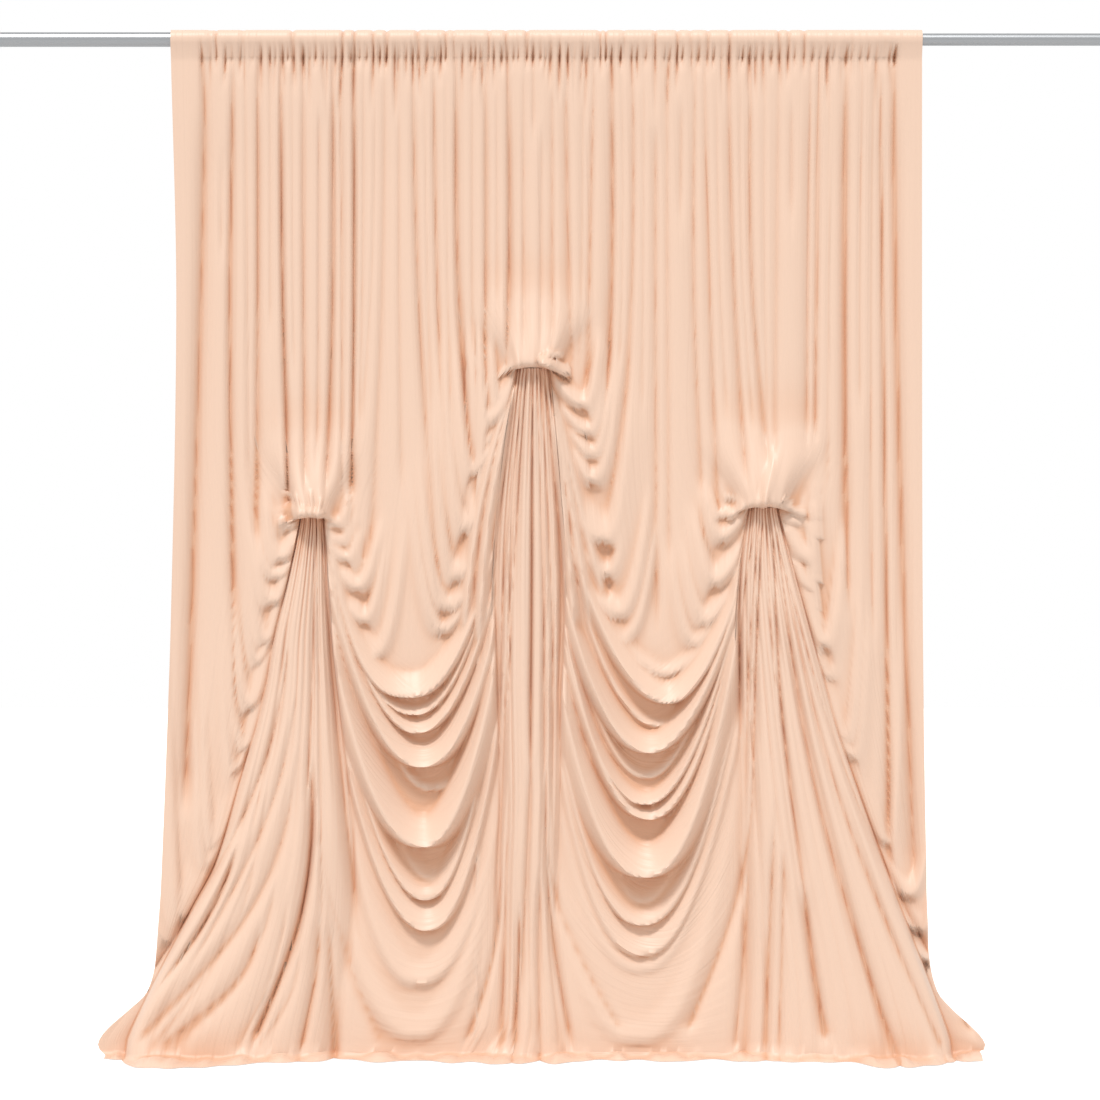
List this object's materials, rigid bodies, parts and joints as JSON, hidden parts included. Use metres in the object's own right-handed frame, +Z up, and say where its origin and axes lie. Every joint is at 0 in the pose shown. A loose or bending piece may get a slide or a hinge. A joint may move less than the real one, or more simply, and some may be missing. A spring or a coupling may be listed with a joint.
{
  "type": "spandex backdrop curtain on a telescoping crossbar",
  "caption": "Peach stretch-cloth backdrop panel gathered on a round crossbar by a rod pocket, tied up into pouches, swags and fans, its hem lying on the floor",
  "frame": {"origin": "On the floor, under the middle of the whole object's box", "axes": "+X along the crossbar to the viewer's right, +Z up, the draped front faces -Y"},
  "size_m": [3.05, 0.278, 2.6767],
  "materials": {
    "cloth": "fine stretch knit with a soft satin sheen",
    "crossbar": "drawn tube, satin"
  },
  "bodies": {
    "root": {"crossbar_outer": "crossbar", "crossbar_inner": "crossbar", "curtain": "cloth"}
  },
  "joints": []
}
